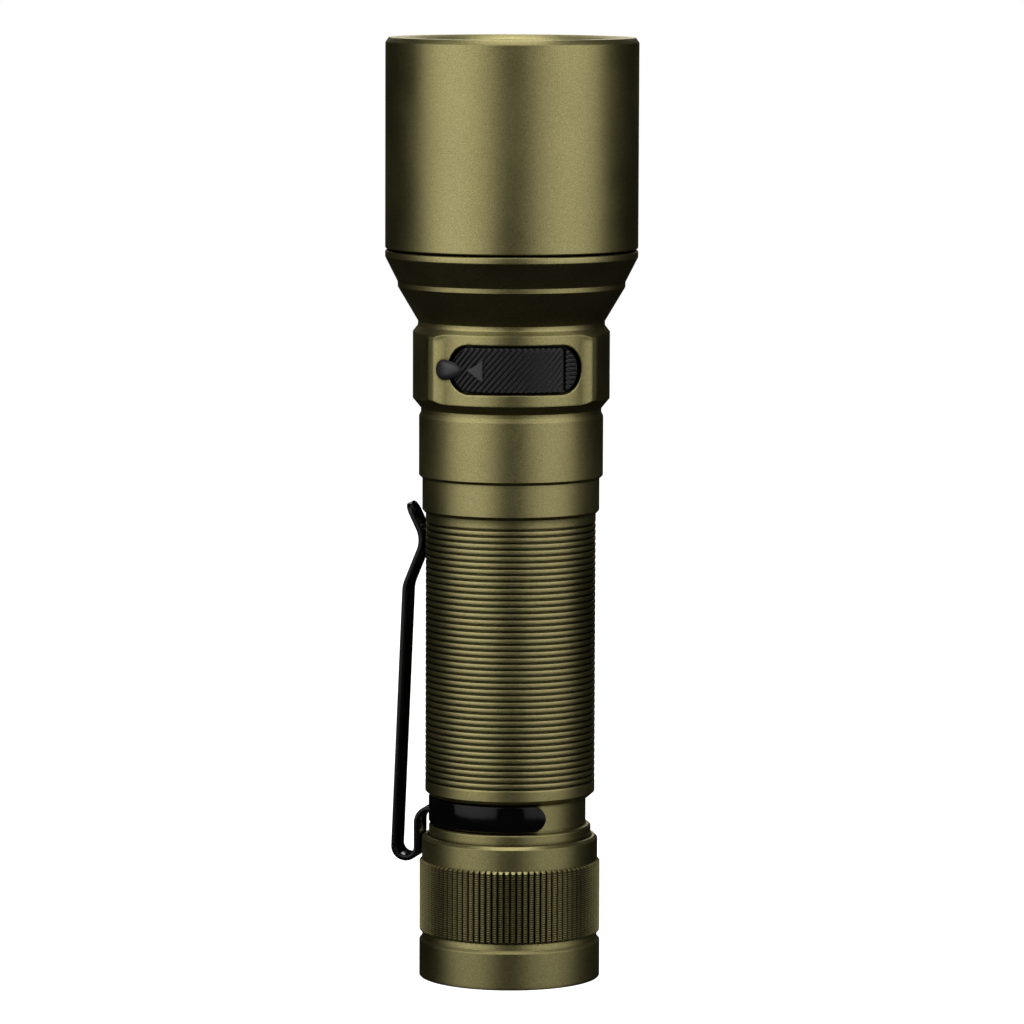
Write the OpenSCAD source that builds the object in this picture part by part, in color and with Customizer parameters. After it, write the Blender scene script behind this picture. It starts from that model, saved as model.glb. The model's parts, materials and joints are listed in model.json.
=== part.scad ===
// Tactical flashlight: one lithium cell in a ringed grip, a long smooth head over a
// parabolic reflector, a charging port under a rubber flap, a side button opposite it,
// a screw-on tail cap with a recessed button, and a snap-on pocket clip.
// Millimetres. +Z runs from the tail to the lens, the origin is the centre of the tail
// face, the charging port faces -Y and the side button faces +Y.

/* [Tail cap] */
// Diameter of the tail ring and over the knurl crests
tail_d = 28.8; // [28.6:0.1:29.6]
// Diameter of the smooth band above the knurl
tail_band_d = 28; // [27.8:0.1:28.2]
// Height of the plain ring at the tail
tail_ring_h = 6.3; // [6:0.1:6.6]
// Height of the knurled ring
knurl_h = 11.1; // [10.8:0.1:11.4]
// Number of knurl ribs
knurl_n = 90; // [60:2:100]
// Depth of the grooves between knurl ribs
knurl_depth = 0.45; // [0.2:0.05:0.5]
// Height of the smooth band
tail_band_h = 4.3; // [4.2:0.1:4.6]
// Diameter of the tail button
button_d = 14; // [12:0.5:15]
// Travel of the tail button
button_travel = 1.5; // [0.5:0.1:1.6]

/* [Grip] */
// Diameter over the grip rings
grip_d = 27; // [26.8:0.1:27.4]
// Distance from one ring groove to the next
ring_pitch = 1; // [0.9:0.05:1.05]
// Number of ring grooves
ring_n = 42; // [20:1:42]
// Depth of each ring groove
ring_depth = 0.3; // [0.1:0.05:0.5]
// Diameter of the smooth collar above the grip
collar_d = 28.1; // [28:0.1:28.6]
// Height of the smooth collar
collar_h = 5.15; // [5.05:0.05:5.3]

/* [Head] */
// Diameter of the head
head_d = 40; // [39.8:0.1:41]
// Diameter of the skirt that screws onto the grip tube
skirt_d = 29.2; // [29:0.1:29.6]
// Height of the long smooth bezel barrel
bezel_h = 33.2; // [33:0.1:36]
// Diameter over the four ribs of the neck block
rib_d = 32.4; // [32:0.1:33]
// Diameter of the pads between the ribs
pad_d = 31.25; // [31:0.05:31.6]
// Diameter of the step between the two head cones
step_d = 36; // [35:0.1:37]

/* [Charging port] */
// Half the length of the flap's recess, measured along the curved pad
flap_half = 11.4; // [11.2:0.1:11.8]
// Height of the flap's recess
flap_h = 8; // [7:0.1:8.2]

/* [Pocket clip] */
// Width of the clip arm
clip_w = 5; // [4:0.1:6]
// Thickness of the clip arm
clip_t = 0.95; // [0.8:0.05:1]
// Direction of the clip arm, as an angle from +X
clip_angle = 163; // [120:1:200]
// Angle that the clip's spring band wraps round the tube
clip_wrap = 262; // [220:1:280]

/* [Cell] */
// Diameter of the wrapped cell
cell_d = 21.5; // [21:0.1:21.8]
// Length of the cell
cell_h = 70.8; // [70:0.1:70.9]

/* [Hidden] */
$fn = 96;

// Heights of the tail cap, from the tail face up
z_knurl0 = tail_ring_h + 1.06;
z_knurl1 = z_knurl0 + knurl_h;
z_cap_top = z_knurl1 + tail_band_h;
groove_r = tail_d / 2 - 0.47;
tail_wall = 2.6;
switch_bay_r = 10.8;
z_board0 = 10.6;
z_board1 = z_board0 + 1.6;
z_plunger0 = z_board0 - 3.1 - button_travel;
cap_bore_r = 12.45;
z_cap_step = z_cap_top - 1.3;
lip_seat_r = 13.05;

// Heights and radii of the grip tube
z_tube0 = 13.6;
tube_bore_r = 11.1;
rear_thread_r = 12.35;
front_thread_r = 13.1;
thread_depth = 0.4;
lip_r = 12.9;
z_lip0 = z_cap_step + 0.2;
z_clip0 = z_cap_top + 1.8;
z_clip1 = z_clip0 + 4.5;
clip_groove_r = 12.1;
z_grip0 = z_clip1 + 0.8;
z_rings0 = z_grip0 + 1.6;
z_collar0 = z_rings0 + 43.04;
z_collar1 = z_collar0 + 0.4 + collar_h;
z_tube1 = z_collar1 + 7.7;

// Heights and radii of the head
skirt_r = skirt_d / 2;
z_neck0 = z_collar1 + 9.95;
z_block0 = z_neck0 + 1.06;
z_block1 = z_block0 + 13.11;
z_cone0 = z_block1 + 1.27;
z_step0 = z_cone0 + 4.32;
z_step1 = z_step0 + 1.24;
z_flange0 = z_step1 + 3.87;
z_shoulder = z_flange0 + 1.13;
z_bezel0 = z_shoulder + 0.3;
z_top = z_bezel0 + bezel_h;
low_neck_r = 14.3;
high_neck_r = 14.8;
head_r = head_d / 2;
thread_hub_r = 18.6;
z_hub_top = z_shoulder + 7;
head_bore_r = 13.2;
z_driver0 = z_block0 - 0.5;
z_driver1 = z_driver0 + 1.6;
driver_bay_r = 12.3;
upper_bay_r = 11.4;
z_shelf0 = z_cone0 - 0.5;
z_shelf1 = z_shelf0 + 3.2;

// Optics: the lamp's chip sits at the focus of the paraboloid
z_led_board1 = z_shelf1 + 1.6;
z_focus = z_led_board1 + 1;
focal = 2.19;
z_lens0 = z_top - 5.4;
z_lens1 = z_lens0 + 2.6;
lens_r = 18.3;
window_r = 17.3;
mcpcb_screw_r = 8.3;
lead_hole_x = 8.6;

// Charging port and its flap, on the -Y pad of the neck block
z_port = z_block0 + 7.16;
pad_r = pad_d / 2;
rib_r = rib_d / 2;
pocket_floor_r = 13.5;
flap_gap = 0.2;
flap_r0 = pocket_floor_r + 0.2;
flap_r1 = pad_r - 0.1;
bump_r = pad_r + 0.5;
bump_h = 3.1;
deg_per_mm = 180 / (PI * pad_r);
hinge_phi = 10.3 * deg_per_mm;
hinge_x = -bump_r * sin(hinge_phi);
hinge_y = -bump_r * cos(hinge_phi);
swing_r = pad_r * sin(flap_half * deg_per_mm) - flap_gap - hinge_x;
usb_w = 8.94;
usb_h = 3.26;
usb_wall = 0.3;
usb_y0 = -12.6;
usb_y1 = -5.3;
z_charge1 = z_port - usb_h / 2;

// Side button, on the +Y pad
side_r = 4.4;
side_bezel_r = 5.6;
z_side = (z_block0 + z_block1) / 2;

// Battery
z_cell0 = z_board1 + 5.7;
z_cell1 = z_cell0 + cell_h;

// Clip: centre line of the strip, as distance from the tube's axis and height
clip_band_r0 = clip_groove_r + 0.05;
clip_band_r1 = clip_band_r0 + 0.8;
z_band0 = z_clip0 + 0.3;
z_band1 = z_clip1 - 0.05;
riser_rho = 14.8;
arm_rho = 18.55;
u_rho = (riser_rho + arm_rho) / 2;
u_r = (arm_rho - riser_rho) / 2;
z_u = z_band0 - 4.55;
riser_bend = 2.2;
arm_knee = [16.75, z_collar0 - 12.4];
arm_contact = [13.7, z_collar0 - 4.9];
arm_tip = [16.6, z_collar0 + 1.3];

function ray(r, a) = [r * cos(a), r * sin(a)];
function unit(v) = v / norm(v);
function arc(c, r, a0, a1, n) = [for (i = [0:n]) c + ray(r, a0 + (a1 - a0) * i / n)];

// A corner at b between a and c, rounded to radius r with n chords
function rounded(a, b, c, r, n) =
    let (u = unit(a - b), w = unit(c - b), half = acos(u * w) / 2,
        reach = r / tan(half), centre = b + unit(u + w) * r / sin(half))
    [for (i = [0:n])
        let (p = b + u * reach, q = b + w * reach,
            mix = p + (q - p) * i / n)
        centre + unit(mix - centre) * r];

// The outline of a strip of thickness t along a path
function side_of(path, d) = [for (i = [0:len(path) - 1])
    let (a = path[max(i - 1, 0)], b = path[min(i + 1, len(path) - 1)], v = unit(b - a))
    path[i] + [-v[1], v[0]] * d];
function flipped(v) = [for (i = [len(v) - 1:-1:0]) v[i]];
function strip(path, t) = concat(side_of(path, t / 2), flipped(side_of(path, -t / 2)));

riser_path = concat(
    arc([riser_rho - riser_bend, z_band0 - 0.6], riser_bend, 90, 0, 8),
    arc([u_rho, z_u], u_r, 180, 267, 10));
arm_path = concat(
    arc([u_rho, z_u], u_r, 273, 360, 10),
    rounded([arm_rho, z_u], arm_knee, arm_contact, 5, 8),
    rounded(arm_knee, arm_contact, arm_tip, 4.5, 10),
    [arm_tip]);

// A coil of round wire whose radius runs from r0 at z0 to r1 at z1
module coil(r0, r1, z0, z1, turns, wire_r) {
    sides = 8;
    steps = ceil(turns * 18);
    ring = [for (i = [0:steps])
        let (f = i / steps, a = 360 * turns * f, r = r0 + (r1 - r0) * f, z = z0 + (z1 - z0) * f)
        [for (k = [0:sides - 1])
            let (b = 360 * k / sides, q = r + wire_r * cos(b))
            [q * cos(a), q * sin(a), z + wire_r * sin(b)]]];
    points = [for (s = ring) for (p = s) p];
    walls = [for (i = [0:steps - 1]) for (k = [0:sides - 1])
        let (a = i * sides + k, b = i * sides + (k + 1) % sides)
        [a, a + sides, b + sides, b]];
    ends = [[for (k = [0:sides - 1]) k], [for (k = [sides - 1:-1:0]) steps * sides + k]];
    polyhedron(points, concat(walls, ends));
}

module ring(r0, r1, z0, z1) {
    translate([0, 0, z0]) linear_extrude(z1 - z0) difference() {
        circle(r1);
        circle(r0);
    }
}

module oring(r, z, wire_r) {
    translate([0, 0, z]) rotate_extrude() translate([r, 0]) circle(wire_r, $fn = 32);
}

// A thread drawn as plain rings: crests at r, roots depth below, from z0 to z1
function thread_rings(r, depth, z0, z1, pitch = 1) =
    [for (i = [0:floor((z1 - z0) / pitch) - 1]) each
        let (z = z0 + i * pitch)
        [[r - depth, z], [r, z + 0.3 * pitch], [r, z + 0.5 * pitch], [r - depth, z + 0.8 * pitch]]];

module at_port() {
    translate([0, 0, z_port]) rotate([90, 0, 0]) children();
}

// ---- Tail cap ----

function knurl_outline() = [for (i = [0:knurl_n - 1]) each
    let (a = 360 * i / knurl_n, s = 360 / knurl_n)
    [ray(tail_d / 2, a - 0.28 * s), ray(tail_d / 2, a + 0.28 * s),
        ray(tail_d / 2 - knurl_depth, a + 0.5 * s)]];

module tailcap_shell() {
    r = tail_d / 2;
    band_r = tail_band_d / 2;
    color("darkolivegreen") difference() {
        union() {
            rotate_extrude() polygon([
                [0, 0], [r - 0.2, 0], [r, 0.2], [r, tail_ring_h - 0.5], [groove_r, tail_ring_h],
                [groove_r, z_knurl0 + 0.2], [groove_r - 0.4, z_knurl0 + 0.6],
                [groove_r - 0.4, z_knurl1], [band_r, z_knurl1 + 0.4], [band_r, z_cap_top - 0.45],
                [band_r - 0.45, z_cap_top], [0, z_cap_top]]);
            intersection() {
                translate([0, 0, z_knurl0]) linear_extrude(knurl_h + 0.4) polygon(knurl_outline());
                rotate_extrude() polygon([
                    [0, z_knurl0], [r + 0.2, z_knurl0], [r + 0.2, z_knurl1 - 0.2],
                    [band_r, z_knurl1 + 0.4], [0, z_knurl1 + 0.4]]);
            }
        }
        translate([0, 0, -1]) cylinder(r = button_d / 2 + 0.2, h = tail_wall + 2);
        translate([0, 0, -0.01]) cylinder(r1 = button_d / 2 + 0.8, r2 = button_d / 2 + 0.2, h = 0.6);
        translate([0, 0, tail_wall]) cylinder(r = switch_bay_r, h = z_board0);
        translate([0, 0, z_board0]) cylinder(r = cap_bore_r, h = z_cap_top);
        translate([0, 0, z_cap_step]) cylinder(r = lip_seat_r, h = 5);
    }
}

module tail_button() {
    r = button_d / 2;
    color("dimgray") difference() {
        rotate_extrude() polygon([
            [0, 0.6], [r - 0.6, 0.6], [r, 1.1], [r, tail_wall + 0.05], [r + 1.2, tail_wall + 0.05],
            [r + 1.2, tail_wall + 0.85], [2.4, tail_wall + 0.85], [2.4, z_plunger0], [0, z_plunger0]]);
        for (q = [1.5, 3, 4.5])
            translate([0, 0, 0.5]) ring(q - 0.2, q + 0.2, 0, 0.3);
    }
}

module tail_plunger() {
    color("red") translate([0, 0, z_plunger0]) cylinder(r = 1.6, h = 1.8);
}

// A rubber ring that wipes the rim of the button's flange
module tail_seal() {
    r = button_d / 2 + 1.3;
    color("black") rotate_extrude() polygon([
        [r, tail_wall + 0.05], [switch_bay_r - 0.05, tail_wall + 0.05],
        [switch_bay_r - 0.05, tail_wall + 2.9], [r + 1, tail_wall + 2.9], [r, tail_wall + 2.4]]);
}

module tail_switch_housing() {
    color("black") difference() {
        translate([-4.5, -4.5, 7.6]) cube([9, 9, z_board0 - 7.6]);
        translate([0, 0, 7]) cylinder(r = 1.7, h = 2.6);
    }
}

module tail_board() {
    color("green") translate([0, 0, z_board0]) cylinder(r = 12.2, h = z_board1 - z_board0);
}

module tail_retaining_ring() {
    color("gold") difference() {
        ring(9.4, 12.3, z_board1, z_board1 + 1.2);
        for (a = [0, 180]) rotate(a) translate([10, -1, z_board1 + 0.5]) cube([5, 2, 2]);
    }
}

module tail_spring() {
    color("gold") coil(6.2, 3.4, z_board1 + 0.65, z_cell0 - 0.65, 3.5, 0.55);
}

// ---- Pocket clip ----

module clip_strip(path) {
    rotate(clip_angle) rotate([90, 0, 0]) translate([0, 0, -clip_w / 2])
        linear_extrude(clip_w) polygon(strip(path, clip_t));
}

module clip_band() {
    color("black") union() {
        rotate(clip_angle - clip_wrap / 2) rotate_extrude(angle = clip_wrap)
            translate([clip_band_r0, z_band0]) square([clip_band_r1 - clip_band_r0, z_band1 - z_band0]);
        clip_strip(riser_path);
    }
}

module clip_arm() {
    color("black") clip_strip(arm_path);
}

// ---- Grip tube ----

module battery_tube() {
    grip_r = grip_d / 2;
    collar_r = collar_d / 2;
    wide = 0.5 * ring_pitch;
    outline = concat(
        [[tube_bore_r, z_tube0], [rear_thread_r - thread_depth, z_tube0]],
        thread_rings(rear_thread_r, thread_depth, z_tube0 + 0.2, z_tube0 + 6.2),
        [[rear_thread_r, z_tube0 + 6.2], [rear_thread_r, z_tube0 + 6.6],
            [11.75, z_tube0 + 6.6], [11.75, z_lip0 - 0.6], [rear_thread_r, z_lip0 - 0.6],
            [rear_thread_r, z_lip0], [lip_r, z_lip0], [lip_r, z_clip0 - 0.3], [lip_r - 0.3, z_clip0],
            [clip_groove_r, z_clip0], [clip_groove_r, z_clip1], [clip_groove_r + 0.5, z_clip1],
            [grip_r, z_grip0]],
        [for (i = [0:ring_n - 1]) each
            let (z = z_rings0 + i * ring_pitch)
            [[grip_r, z - wide / 2], [grip_r - 0.8 * ring_depth, z - wide / 4],
                [grip_r - ring_depth, z], [grip_r - 0.8 * ring_depth, z + wide / 4],
                [grip_r, z + wide / 2]]],
        [[grip_r, z_collar0], [grip_r + 0.25, z_collar0], [collar_r, z_collar0 + 0.4],
            [collar_r, z_collar1], [front_thread_r - thread_depth, z_collar1],
            [front_thread_r - thread_depth - 0.3, z_collar1 + 0.2],
            [front_thread_r - thread_depth - 0.3, z_collar1 + 1.8], [front_thread_r, z_collar1 + 1.8],
            [front_thread_r, z_collar1 + 2.2]],
        thread_rings(front_thread_r, thread_depth, z_collar1 + 2.4, z_tube1 - 0.2),
        [[front_thread_r - thread_depth, z_tube1], [tube_bore_r, z_tube1]]);
    color("darkolivegreen") rotate_extrude() polygon(outline);
}

module tube_rear_oring() {
    color("black") oring(12.08, z_tube0 + 7, 0.32);
}

module tube_front_oring() {
    color("black") oring(12.8, z_collar1 + 1, 0.38);
}

// ---- Cell ----

module battery_wrap() {
    r = cell_d / 2;
    color("purple") rotate_extrude() polygon([
        [r - 1.6, z_cell0], [r, z_cell0], [r, z_cell1 - 1], [r - 1.9, z_cell1 - 1],
        [r - 1.9, z_cell1 - 1.15], [r - 0.15, z_cell1 - 1.15], [r - 0.15, z_cell0 + 0.15],
        [r - 1.6, z_cell0 + 0.15]]);
}

module battery_can() {
    r = cell_d / 2 - 0.15;
    z0 = z_cell0 + 0.15;
    z1 = z_cell1 - 1.15;
    color("silver") rotate_extrude() polygon([
        [0, z0], [r, z0], [r, z1], [r - 1.8, z1], [r - 1.8, z1 - 0.3], [r - 0.3, z1 - 0.3],
        [r - 0.3, z0 + 0.4], [0, z0 + 0.4]]);
}

module battery_core() {
    color("darkgray") translate([0, 0, z_cell0 + 0.55])
        cylinder(r = cell_d / 2 - 0.45, h = cell_h - 2);
}

module battery_positive_cap() {
    color("silver") rotate_extrude() polygon([
        [0, z_cell1 - 1.45], [7, z_cell1 - 1.45], [7, z_cell1 - 0.9], [4.2, z_cell1 - 0.9],
        [3.9, z_cell1], [0, z_cell1]]);
}

// ---- Head ----

// One rib of the neck block, seen along the axis, at angle a
module rib_profile(a) {
    intersection() {
        circle(rib_r);
        polygon([ray(13, a - 7), ray(pad_r - 0.1, a - 4.4), ray(rib_r + 0.3, a - 2.3),
            ray(rib_r + 0.3, a + 2.3), ray(pad_r - 0.1, a + 4.4), ray(13, a + 7)]);
    }
}

// The neck block: a turned ring with chamfered ends, milled back to pads between four ribs
module neck_block() {
    intersection() {
        rotate_extrude() polygon([
            [0, z_block0 - 0.01], [low_neck_r, z_block0 - 0.01],
            [rib_r, z_block0 + 1.34 * (rib_r - low_neck_r)],
            [rib_r, z_block1 - 1.2 * (rib_r - high_neck_r)],
            [high_neck_r, z_block1 + 0.01], [0, z_block1 + 0.01]]);
        translate([0, 0, z_block0 - 1]) linear_extrude(z_block1 - z_block0 + 2) union() {
            circle(pad_r);
            for (a = [-90, 90]) for (s = [-1, 1]) rib_profile(a + s * 51.8);
        }
    }
}

// The flap's recess as seen from the front, grown by g: its ends look narrower than
// half circles because they lie on the curved pad
function pocket_outline(g) =
    let (phi0 = (flap_half - flap_h / 2) * deg_per_mm, x0 = pad_r * sin(phi0),
        end = pad_r * sin(flap_half * deg_per_mm) - x0)
    concat([for (a = [-90:7.5:90]) [x0 + (end + g) * cos(a), (flap_h / 2 + g) * sin(a)]],
        [for (a = [90:7.5:270]) [-x0 + (end + g) * cos(a), (flap_h / 2 + g) * sin(a)]]);

// The anchor's slot as seen from the front, grown by g
module bump_outline(g) {
    w = bump_h / 2 * 0.75;
    h = bump_h / 2 + g;
    x0 = pad_r * sin(13.45 * deg_per_mm) - w;
    x1 = pad_r * sin(8.4 * deg_per_mm) + w;
    polygon(concat([for (a = [90:10:270]) [-x0 + (w + g) * cos(a), h * sin(a)]],
        [for (a = [-90:10:90]) [-x1 + (w + g) * cos(a), h * sin(a)]]));
}

module front_prism() {
    at_port() linear_extrude(20) children();
}

// What lies between two radii, in front of the axis, near the port
module shell_zone(r0, r1) {
    ring(r0, r1, z_port - 8, z_port + 8);
}

module usb_outline(g) {
    w = usb_w / 2 + g;
    h = usb_h / 2 + g;
    r = h - 0.25;
    union() {
        square([2 * (w - r), 2 * h], center = true);
        square([2 * w, 2 * (h - r)], center = true);
        for (x = [-1, 1]) for (y = [-1, 1]) translate([x * (w - r), y * (h - r)]) circle(r, $fn = 48);
    }
}

module head_outside() {
    rotate_extrude() polygon([
        [0, z_collar1], [skirt_r - 0.4, z_collar1], [skirt_r, z_collar1 + 0.4],
        [skirt_r, z_neck0 - 0.55], [low_neck_r, z_neck0], [low_neck_r, z_block0],
        [low_neck_r, z_block1], [high_neck_r, z_block1], [high_neck_r, z_cone0],
        [step_d / 2, z_step0], [step_d / 2, z_step1], [head_r - 0.05, z_flange0],
        [head_r, z_flange0 + 0.1], [head_r, z_shoulder - 0.1], [head_r - 0.1, z_shoulder],
        [thread_hub_r, z_shoulder], [thread_hub_r, z_hub_top - 0.4], [thread_hub_r - 0.4, z_hub_top],
        [0, z_hub_top]]);
}

module head_base() {
    color("darkolivegreen") difference() {
        union() {
            head_outside();
            neck_block();
        }
        translate([0, 0, z_collar1 - 1]) cylinder(r = head_bore_r, h = z_tube1 - z_collar1 + 1.4);
        translate([0, 0, z_collar1 + 2]) cylinder(r = driver_bay_r, h = z_driver1 - z_collar1 - 2);
        translate([0, 0, z_driver1 - 1]) cylinder(r = upper_bay_r, h = z_shelf0 - z_driver1 + 1);
        rotate_extrude() polygon([
            [0, z_shelf1], [11.5, z_shelf1], [17.2, z_flange0 - 0.5], [17.2, z_hub_top + 1],
            [0, z_hub_top + 1]]);
        for (s = [-1, 1]) {
            translate([0, s * mcpcb_screw_r, z_shelf0 - 1]) cylinder(r = 1.05, h = 6, $fn = 48);
            translate([s * lead_hole_x, 0, z_shelf0 - 1]) cylinder(r = 1.2, h = 6, $fn = 48);
        }
        intersection() {
            front_prism() {
                polygon(pocket_outline(0));
                bump_outline(0.05);
            }
            shell_zone(pocket_floor_r, 22);
        }
        front_prism() usb_outline(0.12);
        side_axis(0) cylinder(r = side_r + 0.15, h = 20);
        side_axis(14) cylinder(r = side_bezel_r, h = 6);
    }
}

module bezel_barrel() {
    bore = thread_hub_r + 0.1;
    color("darkolivegreen") rotate_extrude() polygon([
        [bore + 0.9, z_bezel0], [head_r - 0.15, z_bezel0], [head_r, z_bezel0 + 0.15],
        [head_r, z_top - 0.8], [head_r - 0.55, z_top], [window_r + 0.9, z_top], [window_r, z_top - 0.8],
        [window_r, z_top - 2], [lens_r + 0.15, z_top - 2], [lens_r + 0.15, z_hub_top + 0.6],
        [bore, z_hub_top + 0.4], [bore, z_bezel0 + 0.9]]);
}

module bezel_oring() {
    color("black") oring(18.95, z_shoulder + 0.33, 0.25);
}

module lens_gasket() {
    color("black") rotate_extrude() polygon([
        [window_r + 0.1, z_lens1], [lens_r, z_lens1], [lens_r, z_lens1 + 0.6], [lens_r - 0.2, z_lens1 + 0.8],
        [window_r + 0.3, z_lens1 + 0.8], [window_r + 0.1, z_lens1 + 0.6]]);
}

module lens_glass() {
    color("lightcyan") rotate_extrude() polygon([
        [0, z_lens0], [lens_r - 0.3, z_lens0], [lens_r, z_lens0 + 0.3], [lens_r, z_lens1 - 0.3],
        [lens_r - 0.3, z_lens1], [0, z_lens1]]);
}

function bowl_r(z) = sqrt(4 * focal * (z - z_focus + focal));

module reflector() {
    z0 = z_focus;
    z1 = z_lens0 - 0.05;
    wall = 1.1;
    steps = 20;
    color("silver") rotate_extrude() polygon(concat(
        [for (i = [0:steps]) let (z = z0 + (z1 - z0) * pow(i / steps, 1.6)) [bowl_r(z), z]],
        [[lens_r, z1], [lens_r, z1 - 1.3]],
        [for (i = [steps - 1:-1:0])
            let (z = z0 + (z1 - 1.3 - z0) * pow(i / steps, 1.6)) [bowl_r(z) + wall, z]]));
}

module led_centering_ring() {
    color("white") difference() {
        ring(3.2, 5.4, z_led_board1, z_focus);
        translate([-2.6, -2.6, z_led_board1 - 1]) cube([5.2, 5.2, 1.75]);
    }
}

module led_emitter() {
    color("khaki") union() {
        translate([-2.5, -2.5, z_led_board1]) cube([5, 5, 0.7]);
        translate([0, 0, z_led_board1 + 0.7]) intersection() {
            translate([0, 0, -0.9]) sphere(2.3);
            cylinder(r = 3, h = 3);
        }
    }
}

module led_board() {
    color("peru") difference() {
        translate([0, 0, z_shelf1]) cylinder(r = 10.5, h = z_led_board1 - z_shelf1);
        for (s = [-1, 1]) {
            translate([0, s * mcpcb_screw_r, z_shelf1 - 1]) cylinder(r = 1.15, h = 4, $fn = 48);
            translate([s * lead_hole_x, 0, z_shelf1 - 1]) cylinder(r = 1.2, h = 4, $fn = 48);
        }
    }
}

module led_board_screws() {
    color("silver") for (s = [-1, 1]) translate([0, s * mcpcb_screw_r, 0]) difference() {
        union() {
            translate([0, 0, z_shelf0 + 0.4]) cylinder(r = 1, h = z_led_board1 - z_shelf0, $fn = 48);
            translate([0, 0, z_led_board1]) cylinder(r1 = 1.85, r2 = 1.5, h = 1.1, $fn = 48);
        }
        translate([0, 0, z_led_board1 + 0.5]) for (a = [0, 90]) rotate(a)
            translate([-0.9, -0.2, 0]) cube([1.8, 0.4, 1]);
    }
}

// A lead from the driver board, up through the shelf and over onto the lamp's board
module led_lead(side, shade) {
    wire_r = 0.5;
    z_bend = z_led_board1 + wire_r;
    color(shade) union() {
        translate([side * lead_hole_x, 0, z_driver1])
            cylinder(r = wire_r, h = z_bend - z_driver1 - 0.8, $fn = 32);
        translate([side * (lead_hole_x - 0.8), 0, z_bend - 0.8]) rotate([90, 0, side > 0 ? 0 : 180])
            rotate_extrude(angle = 90) translate([0.8, 0]) circle(wire_r, $fn = 32);
        translate([side * (lead_hole_x - 0.8), 0, z_bend]) rotate([0, -90 * side, 0])
            cylinder(r = wire_r, h = 1.4, $fn = 32);
    }
}

module led_lead_red() {
    led_lead(1, "red");
}

module led_lead_black() {
    led_lead(-1, "black");
}

// ---- Driver and charging electronics ----

module driver_board() {
    color("green") translate([0, 0, z_driver0]) cylinder(r = 12.2, h = z_driver1 - z_driver0);
}

module chip(x, y, w, d, h) {
    translate([x - w / 2, y - d / 2, z_driver1]) cube([w, d, h]);
}

module driver_components() {
    color("dimgray") union() {
        chip(-4.2, 5, 5.4, 5.4, 2.6);
        chip(2.6, 6.4, 4, 4, 0.9);
        chip(3, 1.4, 3.2, 2.4, 0.8);
        for (i = [0:3]) chip(-6 + 2.6 * i, -0.6, 1.6, 0.8, 0.7);
    }
}

module driver_retaining_ring() {
    color("gold") difference() {
        ring(9.4, 12.25, z_driver0 - 1.4, z_driver0);
        for (a = [0, 180]) rotate(a) translate([10, -1, z_driver0 - 2]) cube([5, 2, 1.2]);
    }
}

module positive_contact() {
    color("gold") rotate_extrude() polygon([
        [0, z_cell1 + 0.02], [2.4, z_cell1 + 0.02], [2.8, z_cell1 + 0.3], [2.8, z_driver0 - 0.6],
        [4.2, z_driver0 - 0.6], [4.2, z_driver0], [0, z_driver0]]);
}

module charge_board() {
    color("green") translate([-6.5, -9.2, z_charge1 - 1]) cube([13, 6, 1]);
}

module charge_pins() {
    color("gold") for (x = [-4.5, -1.5, 1.5, 4.5])
        translate([x, -4.4, z_driver1]) cylinder(r = 0.35, h = z_charge1 - 1 - z_driver1, $fn = 24);
}

module usb_c_shell() {
    color("silver") translate([0, usb_y0, z_port]) rotate([-90, 0, 0]) difference() {
        linear_extrude(usb_y1 - usb_y0) usb_outline(0);
        translate([0, 0, -1]) linear_extrude(usb_y1 - usb_y0 + 0.4) usb_outline(-usb_wall);
    }
}

module usb_c_tongue() {
    color("black") translate([-3.35, usb_y0 + 1.2, z_port - 0.35])
        cube([6.7, usb_y1 - 0.6 - usb_y0 - 1.2, 0.7]);
}

// Everything on one side of the flap's hinge line: side 1 is the flap's, -1 the anchor's
module hinge_side(side) {
    rotate(-90 - hinge_phi) translate([0, side > 0 ? 0.04 : -24.04, z_port - 10]) cube([24, 24, 20]);
}

module port_flap() {
    color("black") intersection() {
        union() {
            intersection() {
                front_prism() polygon(pocket_outline(-flap_gap));
                shell_zone(flap_r0, flap_r1);
                translate([hinge_x, hinge_y, z_port - 8]) cylinder(r = swing_r, h = 16);
            }
            intersection() {
                front_prism() bump_outline(0);
                shell_zone(flap_r0, bump_r);
            }
            translate([-3.5, -14.4, z_port - 1.1]) cube([7, 2.6, 2.2]);
        }
        hinge_side(1);
    }
}

module port_anchor() {
    color("black") intersection() {
        front_prism() bump_outline(0);
        shell_zone(pocket_floor_r, bump_r);
        hinge_side(-1);
    }
}

// ---- Side switch ----

module side_axis(y) {
    translate([0, y, z_side]) rotate([-90, 0, 0]) children();
}

module side_button() {
    color("dimgray") side_axis(0) difference() {
        rotate_extrude() polygon([
            [0, 13.4], [side_r, 13.4], [side_r, 15.3], [side_r - 0.4, 15.7],
            [2.2, 15.7], [1.7, 15.5], [0, 15.5]]);
        ring(2.9, 3.2, 15.5, 16);
    }
}

module side_button_bezel() {
    color("darkolivegreen") side_axis(0) rotate_extrude() polygon([
        [side_r + 0.12, 14], [side_bezel_r - 0.02, 14], [side_bezel_r - 0.02, 15], [side_bezel_r - 0.5, 15.5],
        [side_r + 0.3, 15.5], [side_r + 0.12, 15.3]]);
}

module side_switch_board() {
    color("green") translate([-4.5, 8.4, z_driver1]) cube([9, 1, z_side + 4.5 - z_driver1]);
}

module side_switch() {
    color("silver") union() {
        translate([-2.6, 9.4, z_side - 2.6]) cube([5.2, 1.6, 5.2]);
        side_axis(11) cylinder(r = 1.5, h = 1.6, $fn = 48);
    }
}

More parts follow.
